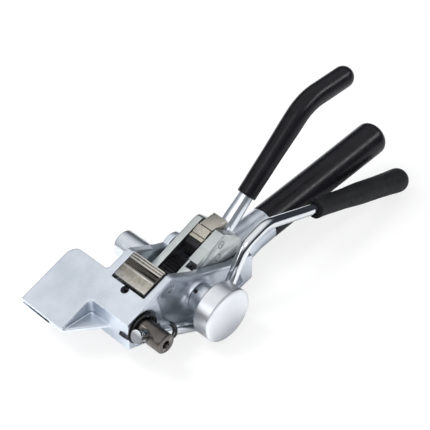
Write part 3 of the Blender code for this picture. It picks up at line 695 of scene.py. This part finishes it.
def build_fixed_grip():
    """The glossy sleeve on the shank."""
    slope = Vector((-math.cos(HANDLE_TILT), 0.0, math.sin(HANDLE_TILT)))
    end_r = 12.72
    end_depth = 8.4
    end_steps = 16
    swell = 0.32
    swell_from = 60.0
    swell_run = 52.0
    spacing = 2.0
    profile = [(0.0, HANDLE_LENGTH)]
    for i in range(1, end_steps + 1):
        angle = math.pi / 2 * (1 - i / end_steps)
        along = HANDLE_LENGTH - end_depth + end_depth * math.sin(angle)
        profile.append((end_r * math.cos(angle), along))
    along = HANDLE_LENGTH - end_depth - spacing
    while along > spacing:
        radius = GRIP_R + swell * max(0.0, (along - swell_from) / swell_run)
        profile.append((radius, along))
        along -= spacing
    profile += [(GRIP_R, 1.4), (GRIP_R - 0.12, 0.9), (GRIP_R - 0.45, 0.5), (GRIP_R - 0.8, GAP)]
    bore = CORE_R + GAP
    bore_end = HANDLE_LENGTH - 12.0
    profile += [(bore, GAP), (bore, bore_end - 0.8), (CORE_R - 0.7, bore_end + GAP), (0.0, bore_end + GAP)]
    start = at(HANDLE_START[0], 0.0, HANDLE_START[1])
    grip = lathe("fixed_handle_grip", profile, start, slope, 96, VINYL)
    grip.data.set_sharp_from_angle(angle=math.radians(50.0))
    placed(grip, "frame", "fixed_grip")


def build_small_fixed():
    """The grub screw and the pad pin with its peened ends."""
    screw_x = -16.9
    normal = Vector((math.sin(NOSE_TILT), 0.0, math.cos(NOSE_TILT)))
    profile = [(0.0, -2.4), (2.25, -2.4), (2.6, -2.75), (2.6, -6.4), (2.2, -6.8), (0.0, -6.8)]
    top = at(screw_x, 0.0, nose_z(screw_x))
    screw = hex_socket("top_grub_screw", top, normal, profile, 1.3, -5.0, -2.0)
    placed(screw, "frame", "grub_screw")
    centre = on_axis(PAD_PIN)
    profile = [(0.0, 17.7), (0.9, 17.8), (1.3, 18.2), (PIN_R - 0.4, 18.2), (PIN_R, 17.8)]
    profile += [(PIN_R, -17.9), (PIN_R - 0.4, -18.3), (0.0, -18.3)]
    pin = lathe("thumb_pad_pin", profile, centre, ALONG_Y, 48, TURNED)
    placed(pin, "frame", "pad_pin")


def build_torsion_spring():
    """Coils round the cutter shaft, one leg in the front face, one hooked round the bar."""
    coil_r = 9.8
    wire_r = 0.85
    turns = 3.29
    first = math.radians(-6.0)
    outer_y = 23.9
    inner_y = 15.5
    per_turn = 40
    count = round(turns * per_turn)
    front = [(-1.9, 14.0, 27.2), (0.2, 14.0, 27.2), (0.95, 15.2, 27.3), (0.95, 21.0, 27.8)]
    front += [(0.2, 23.2, 27.8)]
    coil = []
    for i in range(count + 1):
        angle = first - 2 * math.pi * turns * i / count
        y = outer_y + (inner_y - outer_y) * i / count
        spot = (CUTTER[0] + coil_r * math.cos(angle), y, CUTTER[1] + coil_r * math.sin(angle))
        coil.append(Vector(spot))
    side = [(-14.6, 16.6, 17.4), (-17.5, 19.0, 16.2), (-21.0, 23.6, 14.7), (-24.5, 26.4, 14.6)]
    bar_up = Vector((-math.sin(BAR_TILT), 0.0, math.cos(BAR_TILT)))
    hook_reach = 18.0
    hook_at = Vector((CUTTER[0], BAR_Y, CUTTER[1])) - ALONG_BAR * hook_reach
    hook_r = BAR_R + wire_r + GAP
    hook = []
    for i in range(17):
        angle = math.radians(-110.0 + 14.0 * i)
        spoke = Vector((0.0, math.cos(angle), 0.0)) + bar_up * math.sin(angle)
        hook.append(hook_at + spoke * hook_r)
    route = eased([Vector(point) for point in front]) + coil[1:-1]
    route += eased([coil[-1]] + [Vector(point) for point in side] + [hook[0]]) + hook[1:]
    path = in_world(route)
    spring = loft("cutter_spring", path, [wire_r] * len(path), 14, WIRE, 60.0)
    placed(spring, "frame", "torsion_spring")


def eased(points):
    """A Catmull-Rom curve through points."""
    steps = 6
    result = []
    for i in range(len(points) - 1):
        p0 = points[max(0, i - 1)]
        p1 = points[i]
        p2 = points[i + 1]
        p3 = points[min(len(points) - 1, i + 2)]
        for k in range(steps):
            t = k / steps
            square = (2 * p0 - 5 * p1 + 4 * p2 - p3) * t * t
            cube = (3 * p1 - p0 - 3 * p2 + p3) * t * t * t
            result.append(0.5 * (2 * p1 + (p2 - p0) * t + square + cube))
    result.append(points[-1])
    return result


# ---------------------------------------------------------------- windlass body
def build_windlass():
    """The turned shaft with its band slot."""
    centre = on_axis(WINDLASS)
    profile = [(0.0, SPINDLE_END), (SPINDLE_R, SPINDLE_END), (SPINDLE_R, BOSS_FACE + 0.1)]
    profile += [(JOURNAL_R, BOSS_FACE + 0.1), (JOURNAL_R, -BODY_HALF - GAP)]
    profile += [(MANDREL_R - 0.4, -BODY_HALF - GAP), (MANDREL_R, -BODY_HALF - GAP - 0.4)]
    nose_r = 1.6
    for i in range(9):
        angle = math.pi / 2 * i / 8
        along = MANDREL_END + nose_r - nose_r * math.sin(angle)
        profile.append((MANDREL_R - nose_r + nose_r * math.cos(angle), along))
    profile.append((0.0, MANDREL_END))
    shaft = lathe("windlass_shaft", profile, centre, ALONG_Y, 128, TURNED)
    slot_angle = math.radians(38.0)
    slot_reach = 15.0
    slot_half = 1.1
    slot_depth = 23.0
    run = Vector((math.cos(slot_angle), -math.sin(slot_angle)))
    across = Vector((math.sin(slot_angle), math.cos(slot_angle)))
    corners = []
    for one, two in ((1, 1), (1, -1), (-1, -1), (-1, 1)):
        spot = run * slot_reach * one + across * slot_half * two
        corners.append((WINDLASS[0] + spot.x, WINDLASS[1] + spot.y))
    carve(shaft, prism("slot", corners, MANDREL_END - 1.0, MANDREL_END + slot_depth, TURNED))
    round_edges(shaft, 0.25, 2, 50.0)
    settle(shaft, 40.0)
    placed(shaft, "windlass", "windlass")


def build_gear():
    """The ratchet wheel with its raked teeth."""
    gear = copied("ratchet_wheel", "ratchet_gear", BLACK)
    round_edges(gear, 0.18, 2, 40.0)
    settle(gear)
    placed(gear, "windlass", "ratchet_gear")


def build_collar():
    """The hub and its black pin."""
    centre = on_axis(WINDLASS)
    bore = SPINDLE_R + GAP
    low = BOSS_FACE + 0.5
    high = KNOB_BACK - GAP
    profile = [(bore, high), (HUB_R - 0.5, high), (HUB_R - 0.12, high - 0.2), (HUB_R, high - 0.6)]
    profile += [(HUB_R, low + 0.6), (HUB_R - 0.15, low + 0.2), (HUB_R - 0.5, low), (bore, low)]
    collar = lathe("knob_hub", profile, centre, ALONG_Y, 96, TURNED, closed=True)
    pin_angle = math.radians(60.0)
    pin_dir = Vector((math.cos(pin_angle), 0.0, math.sin(pin_angle)))
    pin_at = on_axis(WINDLASS, BOSS_FACE + 2.1)
    carve(collar, plug("hole", 1.7, 7.0, 14.0, pin_at, pin_dir, 32, TURNED))
    placed(collar, "windlass", "knob_collar")
    profile = [(0.0, 9.9), (0.8, 9.9), (1.2, 9.7), (1.35, 9.4), (1.35, 7.3), (0.0, 7.3)]
    pin = lathe("hub_pin", profile, pin_at, pin_dir, 32, BLACK)
    placed(pin, "windlass", "collar_pin")


def knurl(depth, count, pitch):
    """A diamond pattern of ridges as a change of radius."""
    def shape(radius, along, angle):
        if radius < KNOB_R - 0.05:
            return radius
        one = abs((count * angle / (2 * math.pi) + along / pitch) % 1.0 - 0.5) * 2
        two = abs((count * angle / (2 * math.pi) - along / pitch) % 1.0 - 0.5) * 2
        return radius - depth * max(one, two)
    return shape


def build_knob():
    """The knurled hand knob with a domed, chamfered face."""
    centre = on_axis(WINDLASS)
    bore = SPINDLE_R + GAP
    floor = SPINDLE_END + GAP
    face = [(0.0, 0.0), (6.0, 0.03), (11.0, 0.12), (15.0, 0.26), (17.6, 0.4), (18.1, 0.5)]
    face += [(18.35, 0.75), (18.75, 0.8), (19.05, 0.95)]
    profile = [(radius, KNOB_FACE - drop) for radius, drop in face]
    low = KNOB_BACK + 0.9
    high = KNOB_FACE - 1.35
    rows = 30
    for i in range(rows + 1):
        profile.append((KNOB_R, high + (low - high) * i / rows))
    profile += [(KNOB_R - 0.5, low - 0.4), (KNOB_R - 1.0, KNOB_BACK), (bore, KNOB_BACK)]
    profile += [(bore, floor), (0.0, floor)]
    steps = 480
    ridges = knurl(depth=0.16, count=96, pitch=1.26)
    knob = lathe("hand_knob", profile, centre, ALONG_Y, steps, KNOB, shape=ridges)
    knob.data.set_sharp_from_angle(angle=math.radians(70.0))
    placed(knob, "windlass", "knob")


# ---------------------------------------------------------------- lever body
def build_cheeks():
    """The lever's two side plates."""
    for node, name in (("lever_cheek_right", "right_cheek"), ("lever_cheek_left", "left_cheek")):
        plate = copied(name, node, PLATE)
        round_edges(plate, 0.45, 3, 30.0)
        settle(plate)
        placed(plate, "lever", node)


def rod_path():
    """The lever rod's centre line."""
    base = Vector((ROD_BASE[0], ROD_Y, ROD_BASE[1]))
    direction = Vector((-math.cos(ROD_TILT), 0.0, math.sin(ROD_TILT)))
    top = ROD_BASE[1] + (ROD_BASE[0] - ROD_BEND_X) * math.tan(ROD_TILT) - 1.5
    corners = [base - direction * 12.0, Vector((ROD_BEND_X, ROD_Y, top)), Vector((-230.0, ROD_Y, 108.7))]
    bend_r = 34.0
    return rounded_path(corners, [bend_r])


def build_lever_rod():
    """The forged rod with its tongue, and the glossy bent grip."""
    rod = molten("lever_rod", "tension_rod", ROD, 0.4, 5)
    placed(rod, "lever", "tension_rod")
    path = rod_path()
    length = path_length(path)
    rows = [(ROD_MOUTH, 6.95), (60.0, 7.15), (95.0, 7.7), (130.0, 7.9), (170.0, 8.1)]
    grip = sleeve("lever_grip", path, ROD_MOUTH, length, rows, ROD_ROWS, length - 9.0, VINYL, 8.0)
    placed(grip, "lever", "tension_grip")


def build_lever_pins():
    """The two peened rivets and the socket screw in the notch."""
    for node, name in (("pawl_pin", "pawl_rivet"), ("root_pin", "root_rivet")):
        low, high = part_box(node)
        centre = (low + high) / 2
        half = (high.y - low.y) / 2 / MM
        profile = [(0.0, half - 0.5), (0.7, half - 0.45), (1.1, half - 0.1), (1.7, half)]
        profile += [(PIN_R - 0.3, half - 0.15), (PIN_R, half - 0.5), (PIN_R, -half + 0.5)]
        profile += [(PIN_R - 0.4, -half), (1.2, -half), (0.0, -half + 0.4)]
        rivet = lathe(name, profile, centre, ALONG_Y, 48, PLATE)
        placed(rivet, "lever", node)
    low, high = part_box("cheek_screw")
    centre = Vector(((low.x + high.x) / 2, (low.y + high.y) / 2, low.z))
    profile = [(0.0, 3.1), (1.7, 3.1), (2.0, 2.8), (2.0, 0.0), (0.0, 0.0)]
    screw = hex_socket("cheek_socket_screw", centre, ALONG_Z, profile, 1.1, 1.5, 4.0)
    placed(screw, "lever", "cheek_screw")


# ---------------------------------------------------------------- pawl body
def build_pawl():
    """The stepped pawl and its black tooth."""
    pawl = copied("pawl_block", "drive_pawl", NICKEL)
    round_edges(pawl, 0.3, 3, 25.0)
    settle(pawl)
    placed(pawl, "pawl", "drive_pawl")
    tooth = copied("pawl_edge", "pawl_tooth", BLACK)
    round_edges(tooth, 0.25, 2, 30.0)
    settle(tooth)
    placed(tooth, "pawl", "pawl_tooth")


# ---------------------------------------------------------------- thumb pad body
def checker_grooves(pad, start, end):
    """Cut two sets of fine V grooves, across and along the pad, between two places."""
    depth = 0.5
    half = 0.4
    across = bmesh.new()
    x = start
    while x > end:
        v_groove(across, (x, PAD_LEFT - 1.0), (x, PAD_RIGHT + 1.0), half, depth)
        x -= CHECKER_PITCH
    along = bmesh.new()
    y = PAD_LEFT + 0.7
    while y < PAD_RIGHT - 0.3:
        v_groove(along, (start + 0.3, y), (end - 0.2, y), half, depth)
        y += CHECKER_PITCH
    for name, work in (("across", across), ("along", along)):
        carve(pad, new_piece(name, seal(work, name), STEEL))


def v_groove(work, start, end, half, depth):
    """Add a three-sided bar from one (x, y) to another, its lower edge a little below the pad's top."""
    run = Vector((end[0] - start[0], end[1] - start[1], 0.0)).normalized()
    side = Vector((run.y, -run.x, 0.0)) * half * 2
    rings = []
    for x, y in (start, end):
        ring = []
        for shift, lift in ((0.0, BAND_LIFT - depth), (1.0, BAND_LIFT + depth), (-1.0, BAND_LIFT + depth)):
            spot_x = x + side.x * shift
            ring.append(work.verts.new(at(spot_x, y + side.y * shift, nose_z(spot_x, lift))))
        rings.append(ring)
    a, b = rings
    for i in range(3):
        j = (i + 1) % 3
        work.faces.new((a[i], a[j], b[j], b[i]))
    work.faces.new(a)
    work.faces.new(b)


def build_pad():
    """The thumb pad: flat front strip, raised bend, fine checkering, then three ridges."""
    front = -20.7
    bend = -28.0
    strip_lift = 0.85
    ridge_r = 0.75
    ridge_lift = 1.05
    band_start = bend - 2 * ridge_r
    band_end = -34.4
    points = [on_nose(front, -1.0), on_nose(front, 0.7), on_nose(front - 0.15, strip_lift)]
    for i in range(9):
        angle = math.pi * i / 8
        x = bend - ridge_r * (1 - math.cos(angle))
        points.append(on_nose(x, strip_lift + ridge_r * math.sin(angle)))
    points += [on_nose(band_start - 0.3, BAND_LIFT), on_nose(band_end, BAND_LIFT)]
    for ridge in (-35.0, -37.0, -38.6):
        points += [on_nose(ridge + 0.75, 0.3), on_nose(ridge + 0.35, ridge_lift)]
        points += [on_nose(ridge - 0.35, ridge_lift), on_nose(ridge - 0.6, 0.35)]
    points += [on_nose(-39.6, 0.0), (-40.4, 48.4), (-45.4, 42.6), (-48.6, 38.4), (-48.4, 36.0)]
    points += [(-44.6, 37.0), (-40.6, 36.8), (-37.2, 38.2), (-35.6, 43.0), (-33.0, 46.6)]
    points += [on_nose(-27.0, -1.6)]
    pad = prism("serrated_pad", points, PAD_LEFT, PAD_RIGHT, STEEL)
    carve(pad, plug("bore", PIN_R + GAP, -20.0, 20.0, on_axis(PAD_PIN), ALONG_Y, 48, STEEL))
    gear_room = 17.4
    carve(pad, plug("room", gear_room, -17.0, 17.0, on_axis(WINDLASS), ALONG_Y, 96, STEEL))
    checker_grooves(pad, band_start - 0.5, band_end + 0.2)
    round_edges(pad, 0.1, 2, 60.0)
    settle(pad, 30.0)
    pad.data.materials.append(CHECKERED)
    band_high = at(band_start - 0.4, 0.0, 0.0).x
    band_low = at(band_end + 0.1, 0.0, 0.0).x
    for face in pad.data.polygons:
        if band_low < face.center.x < band_high and face.normal.z > 0.3:
            face.material_index = 1
    placed(pad, "pad", "thumb_pad")


# ---------------------------------------------------------------- cutter body
def bar_route():
    """The cutter bar's centre line."""
    through = Vector((CUTTER[0], BAR_Y, CUTTER[1]))
    low_x = -67.6
    low_z = CUTTER[1] - (CUTTER[0] - low_x) * math.tan(BAR_TILT)
    corners = [through + ALONG_BAR * 14.6]
    for x, z in ((low_x, low_z), (-97.6, 50.2), (-116.0, 56.6), (-150.0, 45.8), (-266.4, 10.7)):
        corners.append(Vector((x, BAR_Y, z)))
    bend_radii = [21.0, 14.0, 16.0, 30.0]
    return rounded_path(corners, bend_radii)


def build_cutter():
    """The slotted shaft, its socket screw, the chrome bar and the matt grip."""
    centre = on_axis(CUTTER)
    left_end = PADDLE_EDGE + 0.2
    profile = [(0.0, 31.0), (2.7, 31.0), (2.7, SHAFT_END - 0.5), (3.1, SHAFT_END)]
    profile += [(SHAFT_R - 0.9, SHAFT_END), (SHAFT_R - 0.15, SHAFT_END - 0.6), (SHAFT_R, SHAFT_END - 0.9)]
    profile += [(SHAFT_R, left_end + 0.7), (SHAFT_R - 0.2, left_end + 0.3), (SHAFT_R - 0.7, left_end)]
    profile += [(0.0, left_end)]
    shaft = lathe("turned_cutter_shaft", profile, centre, ALONG_Y, 96, DARK)
    carve(shaft, plug("hole", BAR_R + GAP, -20.0, 20.0, on_axis(CUTTER, BAR_Y), ALONG_BAR, 48, DARK))
    corners = [(-30.0, 24.3), (5.0, 24.3), (5.0, 26.5), (-30.0, 26.5)]
    carve(shaft, prism("slot", corners, PADDLE_EDGE - 2.0, -26.6, DARK))
    round_edges(shaft, 0.2, 2, 50.0)
    settle(shaft, 40.0)
    placed(shaft, "cutter", "cutter_shaft")

    profile = [(0.0, 40.0), (2.0, 40.0), (2.4, 39.6), (2.4, 34.2), (0.0, 34.2)]
    screw = hex_socket("shaft_socket_screw", centre, ALONG_Y, profile, 1.3, 37.5, 41.0)
    placed(screw, "cutter", "shaft_set_screw")

    route = bar_route()
    length = path_length(route)
    bar_end = length - 10.0
    points, marks = stretch_of(route, 0.0, bar_end, 1.0)
    radii = [table(mark, BAR_ROWS) for mark in marks]
    chrome_bar = loft("chrome_bar", in_world(points), radii, 48, CHROME)
    placed(chrome_bar, "cutter", "cutter_bar")
    mouth = length - 105.8
    rows = [(mouth, 7.3), (mouth + 8.0, 6.95), (mouth + 27.0, 7.2), (mouth + 54.0, 8.2)]
    rows += [(mouth + 72.0, 8.3), (mouth + 83.0, 8.6), (mouth + 96.0, 9.1), (length, 9.1)]
    grip = sleeve("cutter_bar_grip", route, mouth, length, rows, BAR_ROWS, bar_end, RUBBER, 8.6)
    placed(grip, "cutter", "cutter_grip")


def paint_kept_nodes():
    """Finish for the hidden springs, which keep their imported meshes."""
    for node in ("pad_spring", "pawl_spring"):
        spring = frame["nodes"][node]
        for slot in spring.material_slots:
            slot.material = BLACK


build_casting()
build_fixed_grip()
build_small_fixed()
build_torsion_spring()
build_windlass()
build_gear()
build_collar()
build_knob()
build_cheeks()
build_lever_rod()
build_lever_pins()
build_pawl()
build_pad()
build_cutter()
paint_kept_nodes()


# ---------------------------------------------------------------- studio
def build_floor():
    """A plain pale floor, lifted towards white where the camera sees it."""
    half_width = 6.0
    clearance = 0.0002
    camera_glow = 0.82
    work = bmesh.new()
    bmesh.ops.create_grid(work, x_segments=1, y_segments=1, size=half_width)
    mesh = bpy.data.meshes.new("floor")
    work.to_mesh(mesh)
    work.free()
    floor = bpy.data.objects.new("floor", mesh)
    floor.location = (0.0, 0.0, ORIGIN.z - clearance)
    bpy.context.scene.collection.objects.link(floor)
    material = bpy.data.materials.new("pale_floor")
    material.use_nodes = True
    tree = material.node_tree
    shader = tree.nodes["Principled BSDF"]
    shader.inputs["Base Color"].default_value = (0.88, 0.885, 0.89, 1.0)
    shader.inputs["Roughness"].default_value = 0.85
    shader.inputs["Specular IOR Level"].default_value = 0.1
    glow = tree.nodes.new("ShaderNodeEmission")
    glow.inputs["Color"].default_value = (1.0, 1.0, 1.0, 1.0)
    glow.inputs["Strength"].default_value = 1.0
    path = tree.nodes.new("ShaderNodeLightPath")
    share = tree.nodes.new("ShaderNodeMath")
    share.operation = "MULTIPLY"
    share.inputs[1].default_value = camera_glow
    mix = tree.nodes.new("ShaderNodeMixShader")
    tree.links.new(path.outputs["Is Camera Ray"], share.inputs[0])
    tree.links.new(share.outputs["Value"], mix.inputs["Fac"])
    tree.links.new(shader.outputs["BSDF"], mix.inputs[1])
    tree.links.new(glow.outputs["Emission"], mix.inputs[2])
    tree.links.new(mix.outputs["Shader"], tree.nodes["Material Output"].inputs["Surface"])
    mesh.materials.append(material)


def build_world():
    """A soft sky, white overhead and a little towards the nose, and dark round the horizon."""
    world = bpy.data.worlds.new("studio")
    bpy.context.scene.world = world
    world.use_nodes = True
    tree = world.node_tree
    coords = tree.nodes.new("ShaderNodeTexCoord")
    toward = tree.nodes.new("ShaderNodeVectorMath")
    toward.operation = "DOT_PRODUCT"
    toward.inputs[1].default_value = Vector((0.15, -0.08, 0.98)).normalized()
    ramp = tree.nodes.new("ShaderNodeValToRGB")
    stops = (
        (0.28, (0.04, 0.045, 0.055)),
        (0.44, (0.16, 0.17, 0.19)),
        (0.60, (0.60, 0.625, 0.66)),
        (0.86, (1.0, 1.0, 1.0)),
    )
    ramp.color_ramp.elements[0].position = stops[0][0]
    ramp.color_ramp.elements[0].color = (*stops[0][1], 1.0)
    ramp.color_ramp.elements[1].position = stops[3][0]
    ramp.color_ramp.elements[1].color = (*stops[3][1], 1.0)
    for position, colour in stops[1:3]:
        ramp.color_ramp.elements.new(position).color = (*colour, 1.0)
    tree.links.new(coords.outputs["Generated"], toward.inputs[0])
    tree.links.new(toward.outputs["Value"], ramp.inputs["Fac"])
    back = tree.nodes["Background"]
    tree.links.new(ramp.outputs["Color"], back.inputs["Color"])
    back.inputs["Strength"].default_value = 1.05


def area_light(name, place, target, size, power):
    """A rectangular soft light aimed at a point."""
    data = bpy.data.lights.new(name, "AREA")
    data.shape = "RECTANGLE"
    data.size, data.size_y = size
    data.energy = power
    lamp = bpy.data.objects.new(name, data)
    lamp.location = place
    lamp.rotation_mode = "QUATERNION"
    lamp.rotation_quaternion = (target - Vector(place)).to_track_quat("-Z", "Y")
    bpy.context.scene.collection.objects.link(lamp)
    return lamp


def light_only(lamp, *names):
    """Let a light fall on the named objects alone."""
    group = bpy.data.collections.new(lamp.name + "_falls_on")
    for name in names:
        group.objects.link(bpy.data.objects[name])
    lamp.light_linking.receiver_collection = group


def build_camera():
    """The camera, high on the nose's and the knob's side of the tool."""
    azimuth = math.radians(135.15)
    elevation = math.radians(40.4)
    level = math.cos(elevation)
    back = Vector((math.sin(azimuth) * level, -math.cos(azimuth) * level, math.sin(elevation)))
    data = bpy.data.cameras.new("camera")
    data.lens = 110.0
    data.sensor_width = 36.0
    data.clip_start = 0.01
    data.clip_end = 20.0
    camera = bpy.data.objects.new("camera", data)
    camera.location = at(370.4, 471.0, 623.2)
    camera.rotation_mode = "QUATERNION"
    camera.rotation_quaternion = (-back).to_track_quat("-Z", "Y")
    bpy.context.scene.collection.objects.link(camera)
    bpy.context.scene.camera = camera


build_floor()
build_world()
middle = at(-80.0, 0.0, 30.0)
grip_strip = area_light("grip_strip", (-0.5, 0.74, 0.75), middle, (1.1, 0.16), 6.5)
area_light("front_fill", (1.0, -0.45, 0.5), middle, (0.5, 0.5), 1.5)
area_light("rod_fill", (0.85, 0.25, 1.05), middle, (0.5, 0.4), 1.5)
floor_light = area_light("floor_light", (0.45, -0.4, 1.05), middle, (0.45, 0.45), 12.0)
light_only(floor_light, "floor")
light_only(grip_strip, "lever_grip", "fixed_handle_grip", "cutter_bar_grip")
bpy.context.scene.view_settings.view_transform = "Standard"
build_camera()
